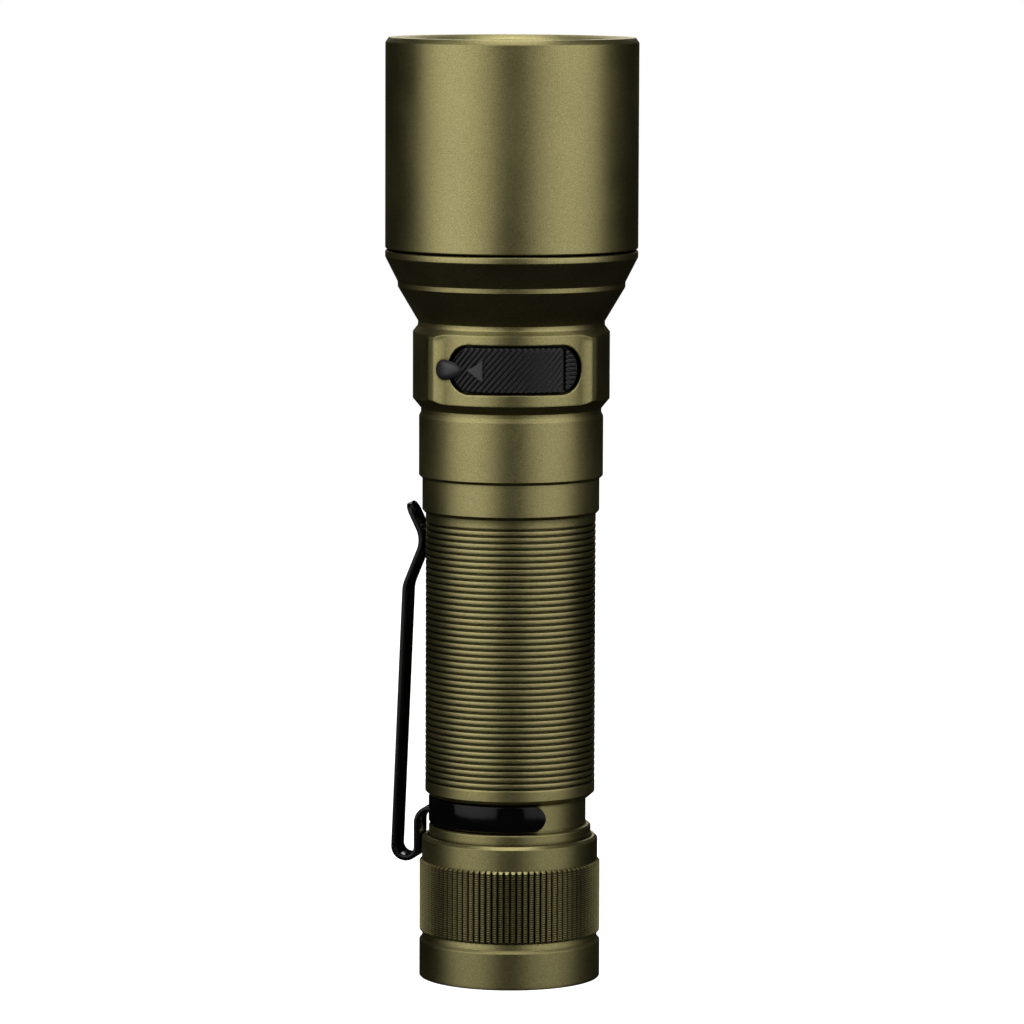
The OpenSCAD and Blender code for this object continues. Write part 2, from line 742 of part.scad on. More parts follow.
tailcap_shell();
tail_retaining_ring();
tail_board();
tail_switch_housing();
tail_button();
tail_plunger();
tail_seal();
tail_spring();
clip_band();
clip_arm();
battery_tube();
tube_rear_oring();
tube_front_oring();
battery_can();
battery_core();
battery_wrap();
battery_positive_cap();
head_base();
bezel_barrel();
bezel_oring();
lens_gasket();
lens_glass();
reflector();
led_centering_ring();
led_emitter();
led_board();
led_board_screws();
led_lead_red();
led_lead_black();
driver_board();
driver_components();
driver_retaining_ring();
positive_contact();
charge_board();
charge_pins();
usb_c_shell();
usb_c_tongue();
port_flap();
port_anchor();
side_button();
side_button_bezel();
side_switch_board();
side_switch();
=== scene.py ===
import json
import math

import bmesh
import bpy
import numpy as np
from mathutils import Matrix, Vector


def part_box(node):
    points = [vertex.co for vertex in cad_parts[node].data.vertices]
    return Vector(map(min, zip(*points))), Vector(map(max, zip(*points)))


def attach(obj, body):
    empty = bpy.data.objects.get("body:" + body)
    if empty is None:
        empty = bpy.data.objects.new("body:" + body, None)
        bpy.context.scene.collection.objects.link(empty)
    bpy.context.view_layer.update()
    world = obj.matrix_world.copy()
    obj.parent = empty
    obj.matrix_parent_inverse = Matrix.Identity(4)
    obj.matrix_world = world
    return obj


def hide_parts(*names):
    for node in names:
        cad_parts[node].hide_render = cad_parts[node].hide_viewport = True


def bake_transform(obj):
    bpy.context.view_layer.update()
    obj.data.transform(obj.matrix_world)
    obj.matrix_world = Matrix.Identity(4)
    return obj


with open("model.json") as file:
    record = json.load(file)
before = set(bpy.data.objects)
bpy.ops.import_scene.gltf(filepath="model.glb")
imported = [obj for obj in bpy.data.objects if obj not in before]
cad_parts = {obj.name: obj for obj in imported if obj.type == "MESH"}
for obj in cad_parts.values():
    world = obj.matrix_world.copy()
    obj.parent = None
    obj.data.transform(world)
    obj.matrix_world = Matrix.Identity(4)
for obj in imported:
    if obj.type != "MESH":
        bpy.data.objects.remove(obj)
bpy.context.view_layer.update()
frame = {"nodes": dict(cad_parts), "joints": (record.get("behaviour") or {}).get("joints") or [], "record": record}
scene = bpy.context.scene
MM = 0.001
ON_AXIS = 1e-6         # a radius in millimetres below which a point is on the axis


# ---- Helpers: every length below is in millimetres, in the frame's own axes ----

def span(node):
    lo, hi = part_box(node)
    return np.array(lo) / MM, np.array(hi) / MM


def mesh_object(name, verts, faces, mat, sharp=38, weighted=False):
    me = bpy.data.meshes.new(name)
    me.from_pydata([(x * MM, y * MM, z * MM) for x, y, z in verts], [], faces)
    me.validate()
    bm = bmesh.new()
    bm.from_mesh(me)
    bmesh.ops.recalc_face_normals(bm, faces=bm.faces)
    bm.to_mesh(me)
    bm.free()
    me.polygons.foreach_set("use_smooth", [True] * len(me.polygons))
    me.set_sharp_from_angle(angle=math.radians(sharp))
    me.materials.append(mat)
    o = bpy.data.objects.new(name, me)
    scene.collection.objects.link(o)
    if weighted:
        m = o.modifiers.new("normals", "WEIGHTED_NORMAL")
        m.keep_sharp = True
        m.weight = 60
    return o


def placed(o, body, slot, *nodes):
    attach(o, body)
    if nodes:
        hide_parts(*nodes)
    return o


def profile(node):
    """The turned outline of a CAD node, as a loop or an open run of (radius, height)."""
    tie = 1e-4      # keeps a rounded value from falling either side of a half
    on_axis = 0.02
    me = frame["nodes"][node].data
    key = []
    for v in me.vertices:
        x, y, z = (c / MM for c in v.co)
        key.append((round(math.hypot(x, y) + tie, 2), round(z + tie, 2)))
    near = {}
    for e in me.edges:
        a, b = key[e.vertices[0]], key[e.vertices[1]]
        if a != b:
            near.setdefault(a, set()).add(b)
            near.setdefault(b, set()).add(a)
    ends = [k for k in near if k[0] < on_axis]
    at = min(ends, key=lambda k: k[1]) if ends else min(near, key=lambda k: (k[1], k[0]))
    run, last = [at], None
    while True:
        step = [k for k in near[at] if k != last and not (k[0] < on_axis and at[0] < on_axis)]
        if not step:
            break
        following = max(step, key=lambda k: (k[0], -k[1])) if last is None else step[0]
        if following in run:
            break
        last, at = at, following
        run.append(at)
    return [(r if r > on_axis else 0.0, z) for r, z in run]


def soften(points, radii, n=3, closed=True):
    """Each corner of an outline rounded: radii is one number or one a corner."""
    out, count = [], len(points)
    for i, b in enumerate(points):
        rad = radii[i] if isinstance(radii, (list, tuple)) else radii
        if (not closed and i in (0, count - 1)) or rad <= 0:
            out.append(b)
            continue
        a, c = np.array(points[i - 1], float), np.array(points[(i + 1) % count], float)
        b = np.array(b, float)
        u, w = a - b, c - b
        lu, lw = np.linalg.norm(u), np.linalg.norm(w)
        u, w = u / lu, w / lw
        half = math.acos(max(-1, min(1, float(u @ w)))) / 2
        if half > 1.55 or half < 0.02:
            out.append(tuple(b))
            continue
        reach = min(rad / math.tan(half), 0.45 * lu, 0.45 * lw)
        rad = reach * math.tan(half)
        mid = (u + w) / np.linalg.norm(u + w)
        centre = b + mid * rad / math.sin(half)
        p, q = b + u * reach, b + w * reach
        for k in range(n + 1):
            m = p + (q - p) * k / n
            d = m - centre
            out.append(tuple(centre + d / np.linalg.norm(d) * rad))
    return out


def turned(name, outline, mat, segments=256, sharp=38, closed=True, weighted=True, place=None):
    """A solid turned about the axis. place moves (x, y, z) of the turning frame to the row frame."""
    verts, rings = [], []
    for r, z in outline:
        if r < ON_AXIS:
            rings.append([len(verts)])
            verts.append((0, 0, z))
        else:
            rings.append(list(range(len(verts), len(verts) + segments)))
            for k in range(segments):
                a = 2 * math.pi * k / segments
                verts.append((r * math.cos(a), r * math.sin(a), z))
    faces = []
    pairs = list(zip(rings, rings[1:]))
    if closed and len(rings[0]) > 1:
        pairs.append((rings[-1], rings[0]))
    for a, b in pairs:
        for k in range(segments):
            n = (k + 1) % segments
            if len(a) == 1 and len(b) == 1:
                break
            if len(a) == 1:
                faces.append((a[0], b[n], b[k]))
            elif len(b) == 1:
                faces.append((a[k], a[n], b[0]))
            else:
                faces.append((a[k], a[n], b[n], b[k]))
    if place:
        verts = [place(*v) for v in verts]
    return mesh_object(name, verts, faces, mat, sharp, weighted)


def grid_faces(rows, cols, wrap):
    faces = []
    for i in range(rows - 1):
        for k in range(cols if wrap else cols - 1):
            n = (k + 1) % cols
            faces.append((i * cols + k, i * cols + n, (i + 1) * cols + n, (i + 1) * cols + k))
    return faces


def rounded_box_section(w, t, rc, n=4):
    """A rounded rectangle, w wide and t thick, as (u, v) points."""
    pts = []
    for cx, cy, a0 in ((1, 1, 0), (-1, 1, 90), (-1, -1, 180), (1, -1, 270)):
        for k in range(n + 1):
            a = math.radians(a0 + 90 * k / n)
            pts.append((cx * (w / 2 - rc) + rc * math.cos(a), cy * (t / 2 - rc) + rc * math.sin(a)))
    return pts


def swept(stations):
    """Verts and faces of closed loops of points joined in order and capped at both ends."""
    verts, faces, m = [], [], len(stations[0])
    for s in stations:
        verts += [tuple(p) for p in s]
    for i in range(len(stations) - 1):
        for k in range(m):
            n = (k + 1) % m
            faces.append((i * m + k, i * m + n, (i + 1) * m + n, (i + 1) * m + k))
    faces.append(tuple(range(m))[::-1])
    faces.append(tuple((len(stations) - 1) * m + k for k in range(m)))
    return verts, faces


def merged(parts):
    verts, faces = [], []
    for v, f in parts:
        base = len(verts)
        verts += v
        faces += [tuple(i + base for i in face) for face in f]
    return verts, faces


def cut(o, cutters):
    """Takes the cutters out of o for good, and removes them."""
    for c in cutters:
        m = o.modifiers.new("cut", "BOOLEAN")
        m.operation = "DIFFERENCE"
        m.solver = "EXACT"
        m.object = c
    deps = bpy.context.evaluated_depsgraph_get()
    me = bpy.data.meshes.new_from_object(o.evaluated_get(deps))
    o.modifiers.clear()
    o.data = me
    for c in cutters:
        bpy.data.objects.remove(c)
    bm = bmesh.new()
    bm.from_mesh(me)
    bmesh.ops.remove_doubles(bm, verts=bm.verts, dist=0.002 * MM)
    bmesh.ops.dissolve_degenerate(bm, edges=bm.edges, dist=0.001 * MM)
    bm.to_mesh(me)
    bm.free()
    me.polygons.foreach_set("use_smooth", [True] * len(me.polygons))


# ---- Materials ----

def finish(name, base, rough, metal=0.0, grain=0.25, speckle=0.1, depth=0.004, patch=9.0,
           patchy=0.05, rough_var=0.05, wear_and_sheen=None, wear_and_sheen_at=0.12, coat=0.0, brushed=None,
           specular=0.5, recess_shade_reach=0.0):
    """A procedural finish: speckled colour at the grain's size, slow patches in colour and roughness, a fine bump,
    lighter edge wear within the given reach of an edge (on the clip also a painted highlight), and painted shade
    in recesses from ambient occlusion."""
    mat = bpy.data.materials.new(name)
    mat.use_nodes = True
    nt = mat.node_tree
    bsdf = nt.nodes["Principled BSDF"]
    bsdf.distribution = "GGX"
    bsdf.inputs["Metallic"].default_value = metal
    bsdf.inputs["Specular IOR Level"].default_value = specular
    bsdf.inputs["Coat Weight"].default_value = coat
    bsdf.inputs["Coat Roughness"].default_value = 0.12
    new = nt.nodes.new
    where = new("ShaderNodeTexCoord").outputs["Object"]
    if brushed:
        mapping = new("ShaderNodeMapping")
        mapping.inputs["Scale"].default_value = brushed
        nt.links.new(where, mapping.inputs["Vector"])
        where_grain = mapping.outputs["Vector"]
    else:
        where_grain = where
    fine = new("ShaderNodeTexNoise")
    fine.inputs["Scale"].default_value = 1 / (grain * MM)
    fine.inputs["Detail"].default_value = 3
    fine.inputs["Roughness"].default_value = 0.65
    nt.links.new(where_grain, fine.inputs["Vector"])
    slow = new("ShaderNodeTexNoise")
    slow.inputs["Scale"].default_value = 1 / (patch * MM)
    slow.inputs["Detail"].default_value = 2
    nt.links.new(where, slow.inputs["Vector"])

    def spread(source, low, high, a=0.3, b=0.7):
        n = new("ShaderNodeMapRange")
        n.inputs["From Min"].default_value = a
        n.inputs["From Max"].default_value = b
        n.inputs["To Min"].default_value = low
        n.inputs["To Max"].default_value = high
        nt.links.new(source, n.inputs["Value"])
        return n.outputs["Result"]

    def scaled(colour, factor):
        n = new("ShaderNodeVectorMath")
        n.operation = "SCALE"
        nt.links.new(colour, n.inputs[0])
        nt.links.new(factor, n.inputs["Scale"])
        return n.outputs["Vector"]

    ramp = new("ShaderNodeValToRGB")
    ramp.color_ramp.elements[0].position = 0.32
    ramp.color_ramp.elements[1].position = 0.68
    ramp.color_ramp.elements[0].color = [c * (1 - speckle) for c in base] + [1]
    ramp.color_ramp.elements[1].color = [min(1, c * (1 + speckle)) for c in base] + [1]
    nt.links.new(fine.outputs["Fac"], ramp.inputs["Fac"])
    colour = scaled(ramp.outputs["Color"], spread(slow.outputs["Fac"], 1 - patchy, 1 + patchy))
    # Lighter colour near an edge: real edge wear, and on the clip's black steel also a painted highlight along its
    # rounded edges.
    if wear_and_sheen:
        here = new("ShaderNodeNewGeometry")
        soft = new("ShaderNodeBevel")
        soft.samples = 4
        soft.inputs["Radius"].default_value = wear_and_sheen_at * MM
        along = new("ShaderNodeVectorMath")
        along.operation = "DOT_PRODUCT"
        nt.links.new(soft.outputs["Normal"], along.inputs[0])
        nt.links.new(here.outputs["Normal"], along.inputs[1])
        amount = spread(along.outputs["Value"], 0.55, 0, 0.86, 0.985)
        mix = new("ShaderNodeMix")
        mix.data_type = "RGBA"
        nt.links.new(amount, mix.inputs["Factor"])
        nt.links.new(colour, mix.inputs["A"])
        mix.inputs["B"].default_value = list(wear_and_sheen) + [1]
        colour = mix.outputs["Result"]
    # Painted shade: the colour is darkened by ambient occlusion in grooves, valleys and inner corners, where shade
    # falls.
    if recess_shade_reach:
        painted_recess_shade = new("ShaderNodeAmbientOcclusion")
        painted_recess_shade.samples = 6
        painted_recess_shade.inputs["Distance"].default_value = recess_shade_reach * MM
        colour = scaled(colour, spread(painted_recess_shade.outputs["AO"], 0.03, 1, 0.45, 0.96))
    nt.links.new(colour, bsdf.inputs["Base Color"])
    both = new("ShaderNodeMath")
    both.operation = "ADD"
    nt.links.new(spread(slow.outputs["Fac"], rough - rough_var, rough + rough_var), both.inputs[0])
    nt.links.new(spread(fine.outputs["Fac"], -rough_var / 2, rough_var / 2), both.inputs[1])
    nt.links.new(both.outputs["Value"], bsdf.inputs["Roughness"])
    bump = new("ShaderNodeBump")
    bump.inputs["Strength"].default_value = 1
    bump.inputs["Distance"].default_value = depth * MM
    nt.links.new(fine.outputs["Fac"], bump.inputs["Height"])
    nt.links.new(bump.outputs["Normal"], bsdf.inputs["Normal"])
    return mat


# Where a finish darkens its recesses, that darkening is painted shade.
MATS = {
    "anodised_aluminium": finish(
        "anodised_aluminium", (0.36, 0.32, 0.14), rough=0.38, metal=1.0, grain=0.11, speckle=0.45,
        depth=0.009, patch=14, patchy=0.04, rough_var=0.04, wear_and_sheen=(0.46, 0.42, 0.23), wear_and_sheen_at=0.07,
        recess_shade_reach=0.6),
    # The clip's lighter worn edges are partly real wear and partly a painted highlight on its rounded edges.
    "black_spring_steel": finish(
        "black_spring_steel", (0.0035, 0.0032, 0.0032), rough=0.12, grain=0.5, depth=0.002, patch=6,
        patchy=0.1, rough_var=0.03, wear_and_sheen=(0.09, 0.08, 0.075), specular=0.2),
    "black_rubber": finish(
        "black_rubber", (0.03, 0.027, 0.0285), rough=0.36, grain=0.14, speckle=0.25, depth=0.006,
        patch=3, patchy=0.12, rough_var=0.06, wear_and_sheen=(0.16, 0.15, 0.15), wear_and_sheen_at=0.08, recess_shade_reach=0.9),
    "button_rubber": finish(
        "button_rubber", (0.03, 0.03, 0.032), rough=0.5, grain=0.2, speckle=0.2, depth=0.008,
        patch=4, patchy=0.1, rough_var=0.06),
    "reflector_metal": finish(
        "reflector_metal", (0.92, 0.92, 0.93), rough=0.05, metal=1.0, grain=1.6, speckle=0.01,
        depth=0.002, patchy=0.01, rough_var=0.02),
    "copper": finish(
        "copper", (0.72, 0.42, 0.28), rough=0.3, metal=1.0, grain=0.3, patch=3, patchy=0.1,
        rough_var=0.08),
    "circuit_board": finish(
        "circuit_board", (0.02, 0.13, 0.055), rough=0.35, grain=0.4, speckle=0.2, depth=0.01,
        patch=2, patchy=0.15, rough_var=0.08, coat=0.4),
    "electronic_black": finish(
        "electronic_black", (0.03, 0.03, 0.033), rough=0.5, grain=0.15, speckle=0.2, depth=0.005,
        patch=3, patchy=0.1),
    "plated_brass": finish(
        "plated_brass", (0.8, 0.6, 0.26), rough=0.25, metal=1.0, grain=0.2, speckle=0.08,
        depth=0.003, patch=4, patchy=0.06, rough_var=0.07),
    "steel": finish(
        "steel", (0.6, 0.6, 0.61), rough=0.28, metal=1.0, grain=0.12, depth=0.003, patch=5,
        rough_var=0.06, brushed=(1, 1, 0.15)),
    "cell_filling": finish(
        "cell_filling", (0.33, 0.33, 0.34), rough=0.5, metal=1.0, grain=0.3, depth=0.005),
    "cell_wrap": finish(
        "cell_wrap", (0.14, 0.04, 0.28), rough=0.3, grain=0.8, speckle=0.06, depth=0.006, patch=8,
        patchy=0.06, rough_var=0.06),
    "white_plastic": finish(
        "white_plastic", (0.82, 0.82, 0.8), rough=0.45, grain=0.3, speckle=0.03, patch=4,
        patchy=0.03),
    "led_phosphor": finish(
        "led_phosphor", (0.86, 0.72, 0.16), rough=0.3, grain=0.15, speckle=0.06, depth=0.003,
        patch=2, coat=0.8),
    "red_wire": finish("red_wire", (0.55, 0.02, 0.02), rough=0.4, grain=0.3, speckle=0.05, patch=3),
    "black_wire": finish("black_wire", (0.02, 0.02, 0.02), rough=0.4, grain=0.3, patch=3),
    "switch_red": finish(
        "switch_red", (0.55, 0.04, 0.03), rough=0.3, grain=0.4, speckle=0.04, depth=0.003, patch=3),
}


def glass_finish():
    """Coated glass: clear, with a faint tint and a few fine wipe marks in its roughness."""
    mat = bpy.data.materials.new("glass")
    mat.use_nodes = True
    nt = mat.node_tree
    bsdf = nt.nodes["Principled BSDF"]
    bsdf.inputs["Base Color"].default_value = (0.96, 0.985, 1, 1)
    bsdf.inputs["Transmission Weight"].default_value = 1
    bsdf.inputs["IOR"].default_value = 1.45
    bsdf.inputs["Coat Weight"].default_value = 0.35
    bsdf.inputs["Coat Tint"].default_value = (0.7, 0.75, 1, 1)
    where = nt.nodes.new("ShaderNodeTexCoord")
    marks = nt.nodes.new("ShaderNodeTexNoise")
    marks.inputs["Scale"].default_value = 220
    marks.inputs["Detail"].default_value = 4
    marks.inputs["Distortion"].default_value = 1.5
    nt.links.new(where.outputs["Object"], marks.inputs["Vector"])
    r = nt.nodes.new("ShaderNodeMapRange")
    r.inputs["From Min"].default_value = 0.45
    r.inputs["From Max"].default_value = 0.8
    r.inputs["To Min"].default_value = 0.0
    r.inputs["To Max"].default_value = 0.05
    nt.links.new(marks.outputs["Fac"], r.inputs["Value"])
    nt.links.new(r.outputs["Result"], bsdf.inputs["Roughness"])
    return mat


MATS["glass"] = glass_finish()
OLIVE = MATS["anodised_aluminium"]
RUBBER = MATS["black_rubber"]

# Every CAD node that stays as it is takes its own slot's finish
for part in frame["record"]["subparts"]:
    node = frame["nodes"][part["node"]]
    node.data.materials.clear()
    node.data.materials.append(MATS[part["material_slot"]])


# ---- Grip tube: the CAD outline with rounded corners and rounded ring grooves ----

GRIP_R = 13.5
GROOVE_PITCH = 1.0
GROOVE_LIFT = 0.33      # the photo's grooves stand this far above the CAD's
# The upper half of a groove: height above its centre, and depth
GROOVE_SIDE = [(0.07, 0.295), (0.105, 0.26), (0.12, 0.12), (0.14, 0.06), (0.17, 0.025), (0.24, 0.006)]


def ring_grooves(centres):
    """The ringed stretch of the grip's outline, with a groove at each height in centres."""
    one = [(-GROOVE_PITCH / 2, 0.0)] + [(-h, d) for h, d in reversed(GROOVE_SIDE)] + GROOVE_SIDE
    run = [(GRIP_R - d, c + h) for c in centres for h, d in one]
    return run + [(GRIP_R, centres[-1] + GROOVE_PITCH / 2)]


def grip_tube():
    outline = profile("battery_tube")
    grip_foot, bore_r, above_collar = 30, 11.2, 82
    cad_floor_r = GRIP_R - 0.29
    low = sorted(z for r, z in outline if abs(r - cad_floor_r) < 0.02 and z > grip_foot)
    z0, z1 = low[0] - GROOVE_PITCH / 2, low[-1] + GROOVE_PITCH / 2

    def ringed(r, z):
        return r > GRIP_R - 0.5 and z0 < z < z1

    def corner(r, z):
        return 0.14 if r > bore_r and z0 - 10 < z < above_collar else 0.05

    first = next(i for i, p in enumerate(outline) if ringed(*p))
    below = outline[:first]
    above = [p for p in outline[first:] if not ringed(*p)]
    rings = ring_grooves([z + GROOVE_LIFT for z in low])
    radii = [corner(*p) for p in below] + [0] * len(rings) + [corner(*p) for p in above]
    o = turned("grip_tube", soften(below + rings + above, radii, 3), OLIVE, 216)
    return placed(o, "body", "anodised_aluminium", "battery_tube")


# ---- Tail cap: knurl ribs cut by fine steps, in one closed shell ----

RIBS = 90
RUNGS = 31                                              # fine steps cut across the ribs
VALLEY = [0.34, 0.12, 0, 0, 0, 0, 0.12, 0.34, 0.5]      # depth across one rib and its groove
CREST = [0, 0.5, 1, 1, 1, 1, 0.5, 0, 0]                 # how much of a rung reaches each column
RUNG = [0.0, 0.04, 0.26, 0.26, 0.04]                    # depth along one rung


def tail_cap():
    tail_r, band_r, groove_r = 14.4, 14.0, 13.93
    lip_r, bore_r, bay_r = 13.05, 12.45, 10.8
    lip, floor_z = 1.3, 2.6
    top = span("tailcap_shell")[1][2]
    knurl0, knurl1 = 7.36, top - 4.3
    button_r = span("tail_button")[1][0] - 1.2
    board = span("tail_board")[0][2]
    cols = RIBS * len(VALLEY)
    rib_r = tail_r - np.tile(VALLEY, RIBS)
    crest = np.tile(CREST, RIBS)
    radii, heights = [], []

    def ring(radius, z):
        radii.append(np.full(cols, radius))
        heights.append(np.full(cols, z))

    lower = [(button_r + 0.8, 0), (tail_r - 0.1, 0), (tail_r, 0.12), (tail_r, 5.8), (groove_r, 6.3),
             (groove_r, knurl0 - 0.12), (groove_r - 0.3, knurl0 - 0.02)]
    for p in soften(lower, [0.1, 0.06, 0.06, 0.12, 0.1, 0.03, 0], 3, closed=False):
        ring(*p)
    ring(np.minimum(rib_r - 0.1, groove_r + 0.02), knurl0)
    rows = RUNGS * len(RUNG)
    for i in range(rows + 1):
        chamfer = 0.06 if i == 0 else 0
        z = knurl0 + 0.03 + (knurl1 - knurl0) * i / rows
        ring(rib_r - crest * RUNG[i % len(RUNG)] - chamfer, z)
    for f in (0.2, 0.4, 0.6, 0.8, 1.0):
        ring(np.minimum(rib_r, tail_r - (tail_r - band_r) * f), knurl1 + 0.03 + 0.39 * f)
    upper = [(band_r, knurl1 + 0.46), (band_r, knurl1 + 0.52), (band_r, top - 0.56),
             (band_r, top - 0.5), (band_r - 0.5, top), (lip_r, top), (lip_r, top - lip),
             (bore_r, top - lip), (bore_r, board), (bay_r, board), (bay_r, floor_z),
             (button_r + 0.2, floor_z), (button_r + 0.2, 0.57)]
    for p in soften(upper, [0, 0, 0, 0.03, 0.14, 0.08] + [0.1] * 5 + [0.05] * 2, 3, closed=False):
        ring(*p)
    ang = np.arange(cols) * 2 * math.pi / cols
    radii, heights = np.array(radii), np.array(heights)
    verts = np.stack([radii * np.cos(ang), radii * np.sin(ang), heights], -1).reshape(-1, 3)
    faces = grid_faces(len(radii), cols, True)
    last = (len(radii) - 1) * cols
    faces += [(last + k, last + (k + 1) % cols, (k + 1) % cols, k) for k in range(cols)]
    o = mesh_object("tail_cap", verts.tolist(), faces, OLIVE, 32, True)
    return placed(o, "tailcap", "anodised_aluminium", "tailcap_shell")


def tail_button():
    """The button's boot, with a shallow dish and four ring-shaped ridges on its face."""
    lo, hi = span("tail_button")
    flange, flange0, flange1, stem_r = 1.2, 2.65, 3.45, 2.4
    r, z0, z1 = hi[0] - flange, lo[2], hi[2]
    ridges = (2.2, 3.2, 4.2, 5.2)
    face = [(0, z0 + 0.5), (0.8, z0 + 0.42), (1.5, z0 + 0.2)]
    for q in ridges:
        face += [(q - 0.32, z0 + 0.02), (q - 0.16, z0 + 0.22), (q + 0.16, z0 + 0.22),
                 (q + 0.32, z0 + 0.02)]
    outline = face + [(r - 0.8, z0), (r - 0.2, z0 + 0.15), (r, z0 + 0.6), (r, flange0),
                      (r + flange, flange0), (r + flange, flange1), (stem_r, flange1), (stem_r, z1),
                      (0, z1)]
    radii = [0] + [0.2] * 2 + [0.09] * 4 * len(ridges) + [0.3] * 3 + [0.1] * 6
    o = turned("tail_button_boot", soften(outline, radii, 3, closed=False), MATS["button_rubber"], 160)
    return placed(o, "tail_button", "button_rubber", "tail_button")


# ---- Head: turned cones and skirt, and the neck block with its recess and port ----

def middle(node):
    """The height of a CAD node's middle."""
    return float(sum(span(node)[i][2] for i in (0, 1)) / 2)


Z0 = span("head_base")[0][2]
NECK0, BLOCK0, BLOCK1, CONE0 = Z0 + 10.35, Z0 + 11.01, Z0 + 24.12, Z0 + 24.8
STEP0, STEP1, FLANGE0, SHOULDER, HUB = Z0 + 30.2, Z0 + 30.95, Z0 + 34.82, Z0 + 35.95, Z0 + 42.95
SHELF0 = Z0 + 24.89                 # the floor that carries the LED board, inside
SHELF1 = SHELF0 + 3.2
DRIVER1 = span("driver_board")[0][2] + 1.6
TUBE1 = span("battery_tube")[1][2] + 0.4
Z_PORT, Z_SIDE = middle("usb_c_shell"), middle("side_button")

SKIRT_R, LOW_NECK_R, HIGH_NECK_R, STEP_R, HEAD_R, HUB_R = 14.6, 14.3, 14.8, 18, 20, 18.6
TUBE_BORE, DRIVER_BORE, UPPER_BORE, LENS_BORE = 13.2, 12.3, 11.4, 17.2
PAD_R, RIB_R, SIDE_R = 15.38, 15.9, 15.6
BLOCK_TURN = -1.45                  # degrees the block is turned from facing -Y
PAD_EDGE, FLARE_END, RIB_EDGE, RIB_END = 43.6, 51.9, 56.8, 65.0     # degrees from a pad's middle
PAD_CORNER, PAD_TOP = 1.5, BLOCK1 - 0.55
DEG_PER_MM = 3.67                   # on the pad's surface

POCKET_HALF, POCKET_H, POCKET_FLOOR, POCKET_RIM = 11.4, 3.82, 13.5, 0.2
Z_FLAP = Z_PORT - 0.18              # the photo's cover sits this far below the connector's middle
ARC_R = 15.625                      # arc lengths along the pad are measured at this radius
PORT_W, PORT_H, PORT_CORNER = 9.18, 3.5, 1.5
SIDE_BORE, SIDE_SEAT = 4.55, 5.6


def block_radius(phi, z):
    """Radius of the neck block at an angle in degrees from -Y: pads between four ribs, each
    pad flared up to the rib beside it and rounded at its upper corners."""
    a = abs((phi - BLOCK_TURN + 180) % 360 - 180)
    a = min(a, 180 - a)
    over = min(max(PAD_CORNER - (PAD_TOP - z), 0.0), PAD_CORNER)
    inset = (PAD_CORNER - math.sqrt(PAD_CORNER ** 2 - over ** 2)) * DEG_PER_MM
    pad_edge, flare_end = PAD_EDGE - inset, FLARE_END - inset
    rib_side = RIB_R - 0.1
    if a <= pad_edge:
        return PAD_R
    if a <= flare_end:
        t = (a - pad_edge) / (flare_end - pad_edge)
        return PAD_R + (rib_side - PAD_R) * t ** 1.9
    if a <= RIB_EDGE:
        return RIB_R - 0.1 * (RIB_EDGE - a) / (RIB_EDGE - flare_end)
    if a <= RIB_END:
        t = (RIB_END - a) / (RIB_END - RIB_EDGE)
        return SIDE_R + (RIB_R - SIDE_R) * t ** 1.7
    return SIDE_R


def smooth_radius(phi, z):
    """The block's radius, averaged a little to each side so that its edges are soft."""
    return sum(block_radius(phi + d, z) * w for d, w in ((-0.45, 0.25), (0, 0.5), (0.45, 0.25)))


def lower_outline(low, z_low):
    """The head's outline from the axis, down its bores and up its skirt to the block."""
    points = [(0, SHELF0), (UPPER_BORE, SHELF0), (UPPER_BORE, DRIVER1), (DRIVER_BORE, DRIVER1),
              (DRIVER_BORE, TUBE1), (TUBE_BORE, TUBE1), (TUBE_BORE, Z0), (SKIRT_R - 0.35, Z0),
              (SKIRT_R, Z0 + 0.35), (SKIRT_R, NECK0 - 0.62), (LOW_NECK_R, NECK0),
              (LOW_NECK_R, BLOCK0), (low, z_low), (low, z_low + 1)]
    radii = [0, 0.1, 0.1, 0.1, 0.1, 0.1, 0.15, 0.1, 0.15, 0.2, 0.12, 0.15, 0.16, 0]
    return soften(points, radii, 3, closed=False)[:-1]


def upper_outline(high, z_high):
    """The head's outline from the top of the block, up its cones and back to the axis."""
    points = [(high, z_high - 1), (high, z_high), (HIGH_NECK_R, BLOCK1), (HIGH_NECK_R, CONE0),
              (STEP_R, STEP0), (STEP_R, STEP1), (HEAD_R - 0.05, FLANGE0), (HEAD_R, FLANGE0 + 0.15),
              (HEAD_R, SHOULDER - 0.15), (HEAD_R - 0.15, SHOULDER), (HUB_R, SHOULDER),
              (HUB_R, HUB - 0.4), (HUB_R - 0.4, HUB), (LENS_BORE, HUB), (LENS_BORE, FLANGE0 - 0.5),
              (11.5, SHELF1), (0, SHELF1)]
    radii = [0, 0.14, 0.6, 0.1, 0.14, 0.2, 0.2] + [0.1] * 7 + [0.3, 0.2, 0]
    return soften(points, radii, 3, closed=False)[1:]


def head_column(phi, rows=40):
    """The head's outline at one angle, as (radius, height) from the axis to the axis."""
    low = smooth_radius(phi, BLOCK0 + 2)
    z_low = BLOCK0 + 0.05 + (low - LOW_NECK_R) * 1.16
    z_high = BLOCK1
    for _ in range(4):      # the chamfer's height and its radius depend on each other
        z_high = BLOCK1 - 0.05 - (smooth_radius(phi, z_high) - HIGH_NECK_R) * 1.2
    below = lower_outline(low, z_low)
    above = upper_outline(smooth_radius(phi, z_high), z_high)
    za, zb = below[-1][1], above[0][1]
    levels = [za + (zb - za) * k / rows for k in range(1, rows)]
    return below + [(smooth_radius(phi, z), z) for z in levels] + above


